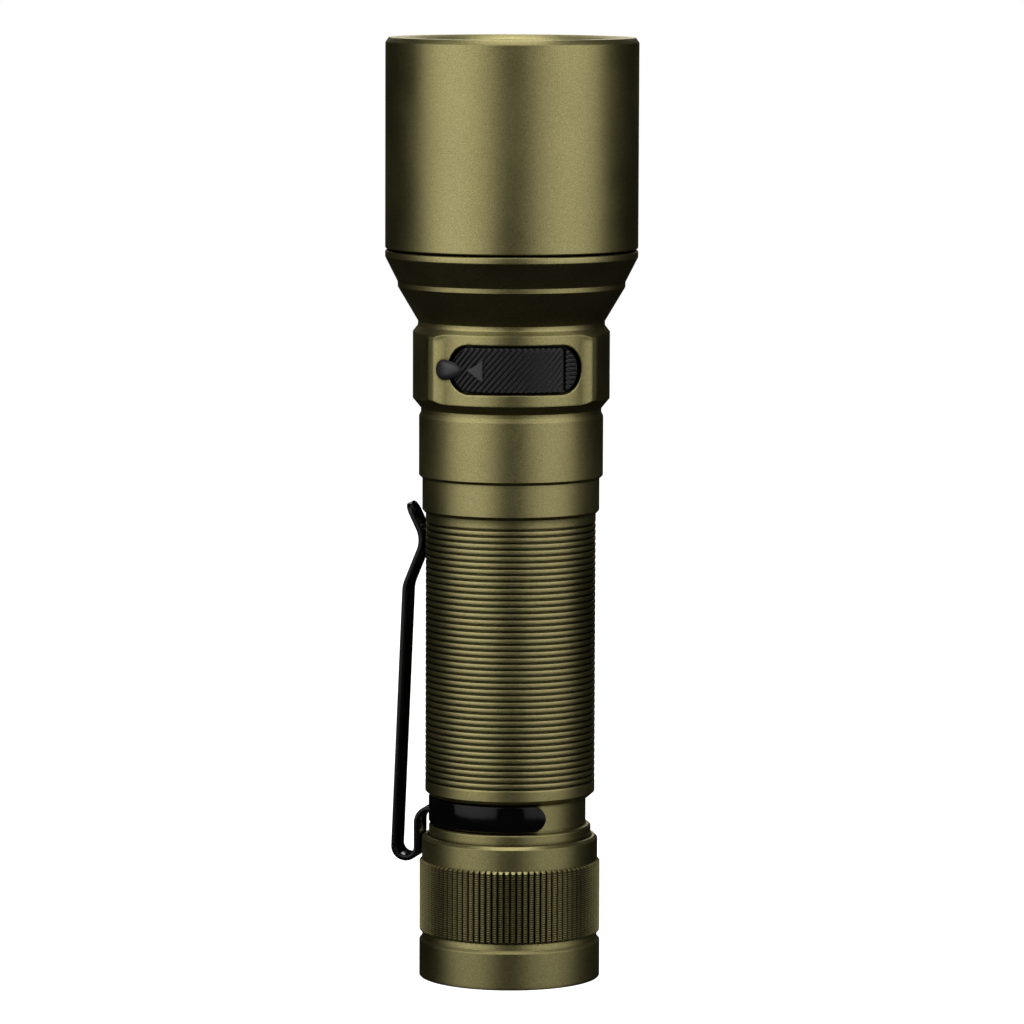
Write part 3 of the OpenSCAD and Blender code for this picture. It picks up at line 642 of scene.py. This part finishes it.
def slot_outline(half, h, n=60):
    """A slot with round ends as (along, up) points, closer together towards its ends."""
    upper, lower = [], []
    for i in range(n + 1):
        t = -math.cos(math.pi * i / n)
        past = abs(half * t) - (half - h)
        z = h if past <= 0 else math.sqrt(max(h ** 2 - past ** 2, 0.0))
        upper.append((half * t, z))
        lower.append((half * t, -z))
    return upper[:-1] + lower[::-1][:-1]


def pocket_cutter(n=60):
    """The pocket's tool: a slot with round ends on the curved pad, flared at its rim."""
    rim = POCKET_RIM
    levels = [(POCKET_FLOOR, 0.0), (PAD_R - rim, 0.0), (PAD_R - rim * 0.6, rim * 0.12),
              (PAD_R - rim * 0.25, rim * 0.45), (PAD_R, rim), (PAD_R + 1.4, rim * 2.4)]
    verts = []
    for radius, grow in levels:
        for s, z in slot_outline(POCKET_HALF + grow, POCKET_H + grow, n):
            x = ARC_R * math.sin(s / ARC_R)
            verts.append((x, -math.sqrt(max(radius ** 2 - x ** 2, 0.04)), Z_FLAP + z))
    m = 2 * n
    faces = grid_faces(len(levels), m, True)
    for base in (0, (len(levels) - 1) * m):
        for i in range(n):
            corners = (i, i + 1, m - i - 1, (m - i) % m)
            quad = list(dict.fromkeys(base + k for k in corners))
            faces.append(tuple(quad if base else quad[::-1]))
    return mesh_object("cut_pocket", verts, faces, OLIVE)


def prism(name, outline, place):
    """A straight cutter: an outline of (u, v) points, put at two depths by place."""
    m = len(outline)
    verts = [place(u, v, 0) for u, v in outline] + [place(u, v, 1) for u, v in outline]
    faces = [tuple(range(m))[::-1], tuple(range(m, 2 * m))]
    faces += [(k, (k + 1) % m, m + (k + 1) % m, m + k) for k in range(m)]
    return mesh_object(name, verts, faces, OLIVE)


def head_shell(cols=432):
    """The head before its cuts, made of one outline for each of cols angles."""
    columns = [head_column(360 * k / cols) for k in range(cols)]
    rows = len(columns[0])
    verts, index = [], {}
    for i in range(rows):
        for k in range(cols):
            r, z = columns[k][i]
            if r < ON_AXIS and (i, 0) in index:
                index[(i, k)] = index[(i, 0)]
                continue
            a = math.radians(360 * k / cols - 90)
            index[(i, k)] = len(verts)
            verts.append((0, 0, z) if r < ON_AXIS else (r * math.cos(a), r * math.sin(a), z))
    faces = []
    for i in range(rows - 1):
        for k in range(cols):
            n = (k + 1) % cols
            corners = [index[(i, k)], index[(i, n)], index[(i + 1, n)], index[(i + 1, k)]]
            faces.append(tuple(dict.fromkeys(corners)))
    return mesh_object("head", verts, faces, OLIVE)


def head():
    o = head_shell()
    circle = [(math.cos(2 * math.pi * k / 96), math.sin(2 * math.pi * k / 96)) for k in range(96)]
    port = rounded_box_section(PORT_W, PORT_H, PORT_CORNER, 8)
    cut(o, [
        pocket_cutter(),
        prism("cut_port", port, lambda u, v, d: (u, -8 - 7 * d, Z_PORT + v)),
        prism("cut_side", circle, lambda u, v, d: (SIDE_BORE * u, 6 + 12 * d, Z_SIDE + SIDE_BORE * v)),
        prism("cut_side_seat", circle,
              lambda u, v, d: (SIDE_SEAT * u, 14 + 4 * d, Z_SIDE + SIDE_SEAT * v)),
    ])
    o.data.set_sharp_from_angle(angle=math.radians(32))
    m = o.modifiers.new("normals", "WEIGHTED_NORMAL")
    m.keep_sharp = True
    return placed(o, "body", "anodised_aluminium", "head_base")


# ---- Port cover: a ribbed flap, the plug that anchors it and the tongue behind it ----

FLAP_HALF, FLAP_H, FLAP_TOP, FLAP_BASE = POCKET_HALF - 0.22, POCKET_H - 0.22, 15.06, 13.7
RIBS_END, CLAW_START = 7.85, 8.65           # the groove between the ribs and the grip at the end
ARROW_TIP, ARROW_Z = -8.15, -0.18
ARROW_LENGTH, ARROW_SLOPE, ARROW_RISE = 2.85, 1.95, 0.32
SOFT_EDGE = 0.3                             # radius of the flap's rounded rim
PLUG_AT, CROWN_AT, PLUG_TOP = -12.55, -12.15, 16.04


def on_arc(s, z, radius):
    """A point s along the curved pad and z above the flap's middle."""
    a = s / ARC_R
    return radius * math.sin(a), -radius * math.cos(a), Z_FLAP + z


def clamp(x):
    return max(0.0, min(1.0, x))


def ridge(x, pitch):
    """A row of round-topped ribs, from 0 in the valleys to 1 on the crests."""
    t = abs((x / pitch) % 1 - 0.5) * 2
    return clamp((t - 0.36) / 0.56) ** 1.1


def flap_edge(s):
    """Half the flap's height at s, where its ends are round."""
    past = abs(s) - (FLAP_HALF - FLAP_H)
    return FLAP_H if past <= 0 else math.sqrt(max(FLAP_H ** 2 - past ** 2, 0.0009))


def flap_relief(s, z):
    """How far the ribs and the grip at the end stand off the flap's face, and the groove sinks."""
    slant = math.radians(48)
    if s < RIBS_END:
        rise = 0.34 * ridge(s * math.sin(slant) - z * math.cos(slant), 0.73)
    elif s > CLAW_START:
        past = s - CLAW_START
        claw = 0.18 * max(0.0, 1 - past / 0.5)
        rise = 0.3 * ridge(z + claw + 0.1, 0.68) * (1 - 0.25 * past / 2.5)
    else:
        rise = -0.45 * min(1, (s - RIBS_END) / 0.15, (CLAW_START - s) / 0.15)
    return rise


def flap_height(s, z):
    """The flap's face at a point: its relief, fading at the rim, and a smooth arrow."""
    from_rim = FLAP_H - math.hypot(max(abs(s) - (FLAP_HALF - FLAP_H), 0), z)
    rise = flap_relief(s, z) * clamp(from_rim / SOFT_EDGE)
    along = (s - ARROW_TIP) / ARROW_LENGTH
    if -0.05 < along < 1.05:
        half = along * ARROW_SLOPE - abs(z - ARROW_Z)
        inside = min(half / 0.12, (1 - along) * ARROW_LENGTH / 0.12)
        if inside > 0:
            rise += (ARROW_RISE - rise) * min(1, inside)
    drop = 0.0
    if from_rim < SOFT_EDGE:
        reach = SOFT_EDGE - max(from_rim, 0)
        drop = SOFT_EDGE - math.sqrt(max(SOFT_EDGE ** 2 - reach ** 2, 0))
    return FLAP_TOP + rise - drop


def flap_mesh(cols=250, rows=90):
    verts = []
    places = []
    for i in range(cols):
        t = (i + 0.5) / cols
        places.append(-FLAP_HALF * math.cos(math.pi * t) * 0.35 + FLAP_HALF * (2 * t - 1) * 0.65)
    for s in places:
        for j in range(rows):
            v = -1 + 2 * j / (rows - 1)
            v = math.sin(v * math.pi / 2) * 0.25 + v * 0.75
            z = v * flap_edge(s)
            verts.append(on_arc(s, z, flap_height(s, z)))
    faces = [(i * rows + j, i * rows + j + 1, (i + 1) * rows + j + 1, (i + 1) * rows + j)
             for i in range(cols - 1) for j in range(rows - 1)]
    under = len(verts)
    for s in places:
        verts += [on_arc(s, -flap_edge(s), FLAP_BASE), on_arc(s, flap_edge(s), FLAP_BASE)]
    for i in range(cols - 1):
        b0, b1 = under + 2 * i, under + 2 * (i + 1)
        faces.append((b0, b0 + 1, b1 + 1, b1)[::-1])
        faces.append((i * rows, (i + 1) * rows, b1, b0)[::-1])
        faces.append((i * rows + rows - 1, (i + 1) * rows + rows - 1, b1 + 1, b0 + 1))
    for i, flip in ((0, 1), (cols - 1, -1)):
        loop = [i * rows + j for j in range(rows)] + [under + 2 * i + 1, under + 2 * i]
        faces.append(tuple(loop[::flip]))
    return verts, faces


def plug_mesh(ring=64, steps=10):
    """The plug: a low dome over its own end of the pocket, with a neck into the flap."""
    middle_z, shoulder_r, base_r = -0.2, 15.0, 13.6
    outline = []
    for k in range(ring):
        a = 2 * math.pi * k / ring
        along, up = math.cos(a), math.sin(a)
        if along < 0:
            outline.append((PLUG_AT + 1.65 * along, 1.6 * up - 0.15))
        else:
            outline.append((PLUG_AT + 3.75 * along ** 1.15, 1.6 * up * (1 - 0.12 * along) - 0.15))
    verts = [on_arc(CROWN_AT, middle_z, PLUG_TOP)]
    for i in range(1, steps + 1):
        t = i / steps
        for s, z in outline:
            at = CROWN_AT + (s - CROWN_AT) * t
            crown = PLUG_TOP - 0.62 * clamp((at + 11.9) / 3.0) ** 1.3
            drop = 0.35 * t ** 6 + 0.1 * t ** 2
            verts.append(on_arc(at, middle_z + (z - middle_z) * t, crown - drop))
    verts += [on_arc(s, z, shoulder_r) for s, z in outline]
    verts += [on_arc(s, z * 0.98, base_r) for s, z in outline]
    verts.append(on_arc(-11.0, 0, base_r))
    faces = [(0, 1 + k, 1 + (k + 1) % ring) for k in range(ring)]
    for i in range(steps + 1):
        for k in range(ring):
            n = (k + 1) % ring
            a, b = 1 + i * ring, 1 + (i + 1) * ring
            faces.append((a + k, b + k, b + n, a + n))
    last = 1 + (steps + 1) * ring
    faces += [(last + k, len(verts) - 1, last + (k + 1) % ring) for k in range(ring)]
    return verts, faces


def tongue_mesh():
    """The tongue behind the flap that fills the mouth of the connector."""
    section = rounded_box_section(7.0, 2.2, 0.9, 5)
    return swept([[(u * f, y, Z_PORT + v * f) for u, v in section]
                  for y, f in ((-14.0, 1.0), (-12.3, 1.0), (-12.05, 0.96), (-11.85, 0.86))])


def port_cover():
    verts, faces = merged([flap_mesh(), plug_mesh(), tongue_mesh()])
    o = mesh_object("port_cover", verts, faces, RUBBER, 40)
    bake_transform(o)
    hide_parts("port_flap", "port_anchor")
    return o


def connector_contacts():
    """The row of contacts on each face of the connector's tongue."""
    pitch, count, length = 0.5, 12, 3.8
    section = rounded_box_section(0.26, 0.05, 0.02, 2)
    lo, hi = span("usb_c_tongue")
    parts = []
    for side in (-1, 1):
        z = Z_PORT + side * (hi[2] - lo[2]) / 2
        for i in range(count):
            x = (i - (count - 1) / 2) * pitch
            parts.append(swept([[(x + u, y, z + v) for u, v in section]
                                for y in (lo[1] + 0.3, lo[1] + 0.35, lo[1] + length)]))
    verts, faces = merged(parts)
    o = mesh_object("connector_contacts", verts, faces, MATS["plated_brass"])
    return placed(o, "body", "plated_brass")


# ---- Side button and its ring, turned about the Y axis ----

def facing_side(x, y, z):
    return x, z, Z_SIDE + y


def side_button():
    lo, hi = span("side_button")
    r, y0, y1 = hi[0], lo[1], hi[1]
    face = [(0, y1 - 0.32), (1.2, y1 - 0.26), (1.8, y1 - 0.02), (2.2, y1)]
    for q in (2.75, 3.35):
        face += [(q - 0.22, y1), (q - 0.1, y1 - 0.15), (q + 0.1, y1 - 0.15), (q + 0.22, y1)]
    outline = [(0, y0), (r, y0), (r, y1 - 0.45), (r - 0.35, y1 - 0.05)] + face[::-1]
    radii = [0, 0.15, 0.25, 0.3] + [0.07] * 8 + [0.1, 0.15, 0.4, 0]
    o = turned("side_button_boot", soften(outline, radii, 3, closed=False), MATS["button_rubber"],
               128, place=facing_side)
    placed(o, "side_button", "button_rubber", "side_button")
    lo, hi = span("side_button_bezel")
    ring = soften([(r + 0.12, lo[1]), (hi[0], lo[1]), (hi[0], hi[1] - 0.45), (hi[0] - 0.45, hi[1]),
                   (r + 0.35, hi[1]), (r + 0.12, hi[1] - 0.25)], 0.12, 3)
    o = turned("side_button_ring", ring, OLIVE, 128, place=facing_side)
    placed(o, "body", "anodised_aluminium", "side_button_bezel")


# ---- Bezel, window and optics ----

FOCAL = 2.19


def parabola(z, vertex):
    """The bowl's radius at a height, about the height of its vertex."""
    return math.sqrt(4 * FOCAL * (z - vertex + FOCAL))


def bezel():
    outline = profile("bezel_barrel")
    top = max(z for r, z in outline)
    radii = [0.09 if z > top - 3 else 0.12 for r, z in outline]
    o = turned("bezel", soften(outline, radii, 4), OLIVE, 320)
    placed(o, "body", "anodised_aluminium", "bezel_barrel")


def window():
    for node, name, mat, corner in (("lens_glass", "window", "glass", 0.12),
                                    ("lens_gasket", "window_gasket", "black_rubber", 0.1)):
        run = profile(node)
        o = turned(name, soften(run, corner, 3, closed=run[0][0] > 0), MATS[mat], 256)
        placed(o, "body", mat, node)


def bowl():
    lo, hi = span("reflector")
    z0, z1 = lo[2], hi[2]
    rim_r, rim, wall = 18.3, 1.3, 1.1
    inner = [z0 + (z1 - z0) * (k / 60) ** 1.6 for k in range(61)]
    outer = [z0 + (z1 - rim - z0) * (k / 40) ** 1.6 for k in range(39, -1, -1)]
    outline = [(parabola(z, z0), z) for z in inner] + [(rim_r, z1), (rim_r, z1 - rim)]
    outline += [(parabola(z, z0) + wall, z) for z in outer]
    o = turned("bowl", outline, MATS["reflector_metal"], 256, sharp=50)
    placed(o, "body", "reflector_metal", "reflector")


# ---- Pocket clip: one strip, bent round the tube, down, round and up ----

BAND_R, BAND_THICK, BAND_HEIGHT = 12.55, 0.8, 4.15
BAND_HALF_WRAP = math.radians(130)
ARM_THICK, ARM_WIDTH = 0.95, 5.0
RISER, ARM = 14.8, 18.55                # the strap's two runs, as distances from the tube's axis
TIP_LENGTH, TIP_ROUND = 1.7, 2.2


def clip_axes(joint):
    """The direction from the tube to the clip's pivot, the direction across it, and up."""
    turn = math.atan2(joint["pos_m"][1], joint["pos_m"][0])
    out = np.array([math.cos(turn), math.sin(turn), 0])
    across = np.array([-math.sin(turn), math.cos(turn), 0])
    return turn, out, across, np.array([0, 0, 1.0])


def clip_band(turn, up, band_top):
    """The band round the tube, with round ends and its front end turned out a little."""
    end_r = BAND_HEIGHT / 2
    middle_z = band_top - end_r
    arc = BAND_R * BAND_HALF_WRAP
    tail = [arc - end_r * (1 - math.cos(math.pi / 2 * k / 14)) for k in range(15)]
    places = [-s for s in tail] + list(np.linspace(-arc + end_r, arc - end_r, 130))[1:-1] + tail
    stations = []
    for s in sorted(places):
        left = arc - abs(s)
        w = BAND_HEIGHT
        if left < end_r:
            w = 2 * math.sqrt(max(end_r ** 2 - (end_r - left) ** 2, 0.003))
        lift = 0.22 * max(0.0, 1 - left / 1.6) if s > 0 else 0.0
        a = turn + s / BAND_R
        out = np.array([math.cos(a), math.sin(a), 0])
        section = rounded_box_section(max(w, 0.1), BAND_THICK, min(0.27, max(w, 0.1) * 0.45), 5)
        stations.append([out * (BAND_R + v + lift) + up * (middle_z + u) for u, v in section])
    return swept(stations)


def arc_points(centre, r, a0, a1, n):
    steps = [math.radians(a0 + (a1 - a0) * i / n) for i in range(n + 1)]
    return [(centre[0] + r * math.cos(a), centre[1] + r * math.sin(a)) for a in steps]


def bend_points(a, b, c, r, n):
    """A round corner of radius r at b, between a and c."""
    a, b, c = (np.array(p, float) for p in (a, b, c))
    u, w = (a - b) / np.linalg.norm(a - b), (c - b) / np.linalg.norm(c - b)
    half = math.acos(float(u @ w)) / 2
    centre = b + (u + w) / np.linalg.norm(u + w) * r / math.sin(half)
    p, q = b + u * r / math.tan(half), b + w * r / math.tan(half)
    rays = [p + (q - p) * i / n - centre for i in range(n + 1)]
    return [tuple(centre + ray / np.linalg.norm(ray) * r) for ray in rays]


def refined(path, longest=0.8):
    """The same path with points added, so that no step is much longer than longest."""
    out = []
    for p, q in zip(path, path[1:]):
        n = max(1, int(math.dist(p, q) / longest))
        out += [(p[0] + (q[0] - p[0]) * i / n, p[1] + (q[1] - p[1]) * i / n) for i in range(n)]
    return out


def arm_path(band_low, pivot_z, tip_z):
    """The strap's line as (out, up) points: down from the band, round its bend, up to the tip."""
    strap_bend, tip_steps = 2.2, 10
    u_r = (ARM - RISER) / 2
    u_z = pivot_z + u_r + ARM_THICK / 2
    collar = tip_z - 1.3
    knee, touch, tip = (16.75, collar - 12.4), (13.7, collar - 4.9), (16.45, tip_z - 0.45)
    path = arc_points((RISER - strap_bend, band_low - 0.6), strap_bend, 90, 0, 14)
    path += arc_points(((RISER + ARM) / 2, u_z), u_r, 180, 360, 36)
    path += [(ARM + (knee[0] - ARM) * f, u_z + (knee[1] - u_z) * f) for f in (0.1, 0.3, 0.5, 0.7)]
    path += bend_points((ARM, u_z), knee, touch, 5, 16) + bend_points(knee, touch, tip, 4.5, 18)
    last, end = np.array(path[-1]), np.array(tip)
    path += [tuple(last + (end - last) * f) for f in (0.35, 0.7, 1.0)]
    way = (end - np.array(path[-2])) / np.linalg.norm(end - np.array(path[-2]))
    eased = [1 - math.sin(math.pi / 2 * k / tip_steps) for k in range(tip_steps + 1)]
    rounded = [tuple(end - way * TIP_LENGTH * f) for f in eased]
    body = [p for p in refined(path) if math.dist(p, tip) > TIP_LENGTH + 0.05]
    return np.array(body + rounded)


def arm_strip(points, out, across, up):
    """The strap itself: a rounded strip along the path, narrowing to a round tip."""
    steps = np.linalg.norm(np.diff(points, axis=0), axis=1)
    length = np.concatenate([[0], np.cumsum(steps)])
    stations = []
    for i, p in enumerate(points):
        v = points[min(i + 1, len(points) - 1)] - points[max(i - 1, 0)]
        v = v / np.linalg.norm(v)
        normal = np.array([-v[1], v[0]])
        left = length[-1] - length[i]
        w = ARM_WIDTH
        if left < TIP_LENGTH:
            reach = TIP_ROUND * (1 - left / TIP_LENGTH)
            w = ARM_WIDTH - 2 * (TIP_ROUND - math.sqrt(max(TIP_ROUND ** 2 - reach ** 2, 0.0)))
        section = rounded_box_section(w, ARM_THICK, 0.3, 4)
        stations.append([out * (p[0] + normal[0] * b) + up * (p[1] + normal[1] * b) + across * a
                         for a, b in section])
    return swept(stations)


def clip():
    joint = next(j for j in frame["joints"] if j["name"] == "clip_flex")
    turn, out, across, up = clip_axes(joint)
    pivot_z = joint["pos_m"][2] / MM
    band_top, tip_z = span("clip_band")[1][2], span("clip_arm")[1][2]
    band = clip_band(turn, up, band_top)
    arm = arm_strip(arm_path(band_top - BAND_HEIGHT, pivot_z, tip_z), out, across, up)
    verts, faces = merged([band, arm])
    o = mesh_object("pocket_clip", verts, faces, MATS["black_spring_steel"], 40)
    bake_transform(o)
    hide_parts("clip_band", "clip_arm")


grip_tube()
tail_cap()
tail_button()
head()
port_cover()
connector_contacts()
side_button()
bezel()
window()
bowl()
clip()


# ---- Floor, light and camera ----

def world_light():
    """White to the camera, and all but dark to the object."""
    world = bpy.data.worlds.new("studio")
    scene.world = world
    world.use_nodes = True
    nt = world.node_tree
    dark = nt.nodes["Background"]
    dark.inputs["Color"].default_value = (1, 0.97, 0.93, 1)
    dark.inputs["Strength"].default_value = 0.003
    pale = nt.nodes.new("ShaderNodeBackground")
    pale.inputs["Color"].default_value = (1, 1, 1, 1)
    pale.inputs["Strength"].default_value = 1.0
    path = nt.nodes.new("ShaderNodeLightPath")
    mix = nt.nodes.new("ShaderNodeMixShader")
    nt.links.new(path.outputs["Is Camera Ray"], mix.inputs["Fac"])
    nt.links.new(dark.outputs["Background"], mix.inputs[1])
    nt.links.new(pale.outputs["Background"], mix.inputs[2])
    nt.links.new(mix.outputs["Shader"], nt.nodes["World Output"].inputs["Surface"])


def floor_finish():
    """A floor that glows pale on its own and takes a faint shadow."""
    mat = bpy.data.materials.new("floor")
    mat.use_nodes = True
    nt = mat.node_tree
    nt.nodes.remove(nt.nodes["Principled BSDF"])
    glow = nt.nodes.new("ShaderNodeEmission")
    glow.inputs["Color"].default_value = (1, 1, 1, 1)
    glow.inputs["Strength"].default_value = 1.0
    matt = nt.nodes.new("ShaderNodeBsdfDiffuse")
    matt.inputs["Color"].default_value = (0.5, 0.5, 0.5, 1)
    both = nt.nodes.new("ShaderNodeAddShader")
    nt.links.new(glow.outputs["Emission"], both.inputs[0])
    nt.links.new(matt.outputs["BSDF"], both.inputs[1])
    nt.links.new(both.outputs["Shader"], nt.nodes["Material Output"].inputs["Surface"])
    return mat


def studio_floor(half=4.0):
    me = bpy.data.meshes.new("floor")
    corners = [(-half, -half, 0), (half, -half, 0), (half, half, 0), (-half, half, 0)]
    me.from_pydata(corners, [], [(0, 1, 2, 3)])
    me.materials.append(floor_finish())
    floor = bpy.data.objects.new("floor", me)
    scene.collection.objects.link(floor)
    floor.visible_glossy = False
    floor.visible_diffuse = False
    floor.visible_transmission = False


LAMP_DISTANCE = 0.9
LAMP_AIM = Vector((0, 0, 0.08))


def softbox(name, azimuth, elevation, width, height, power, spread=180):
    """An area lamp in metres and watts, facing LAMP_AIM from angles in degrees off -Y."""
    lamp = bpy.data.lights.new(name, "AREA")
    lamp.shape = "RECTANGLE"
    lamp.size, lamp.size_y = width, height
    lamp.energy = power
    lamp.spread = math.radians(spread)
    o = bpy.data.objects.new(name, lamp)
    scene.collection.objects.link(o)
    a, e = math.radians(azimuth), math.radians(elevation)
    way = Vector((math.sin(a) * math.cos(e), -math.cos(a) * math.cos(e), math.sin(e)))
    o.location = LAMP_AIM + way * LAMP_DISTANCE
    o.rotation_mode = "QUATERNION"
    o.rotation_quaternion = way.to_track_quat("Z", "Y")


def studio():
    world_light()
    studio_floor()
    softbox("softbox_left", -54, 20, 1.3, 1.1, 2.95, 110)
    softbox("softbox_right", 50, 20, 1.3, 1.1, 2.45, 110)
    softbox("softbox_top", -5, 84, 0.6, 0.4, 2.7)
    softbox("softbox_back", 178, 40, 0.7, 0.7, 1.7, 120)


def camera():
    """The photo's view: a long lens, a little above the object and a little to its left."""
    cam = bpy.data.objects.new("camera", bpy.data.cameras.new("camera"))
    scene.collection.objects.link(cam)
    scene.camera = cam
    distance, view_width = 0.9126984, 0.1625397     # metres, the second at the object
    sensor = 36
    aim = Vector((0.00019, 0, 0.07436))
    pitch, azimuth, tilt = math.radians(6.1), math.radians(-2.8), math.radians(0.2)
    cam.data.sensor_width = sensor
    cam.data.lens = sensor * distance / view_width
    cam.data.clip_start, cam.data.clip_end = 0.05, 20
    back = Vector((0, -math.cos(pitch), math.sin(pitch)))
    look = (-back).to_track_quat("-Z", "Y").to_matrix()
    roll = Matrix.Rotation(tilt, 3, back)
    turn = Matrix.Rotation(azimuth, 4, "Z")
    at = Matrix.Translation(aim + back * distance)
    cam.matrix_world = turn @ at @ (roll @ look).to_4x4()


studio()
camera()
scene.view_settings.view_transform = "Standard"
scene.view_settings.look = "None"
scene.view_settings.exposure = 0
scene.view_settings.gamma = 1
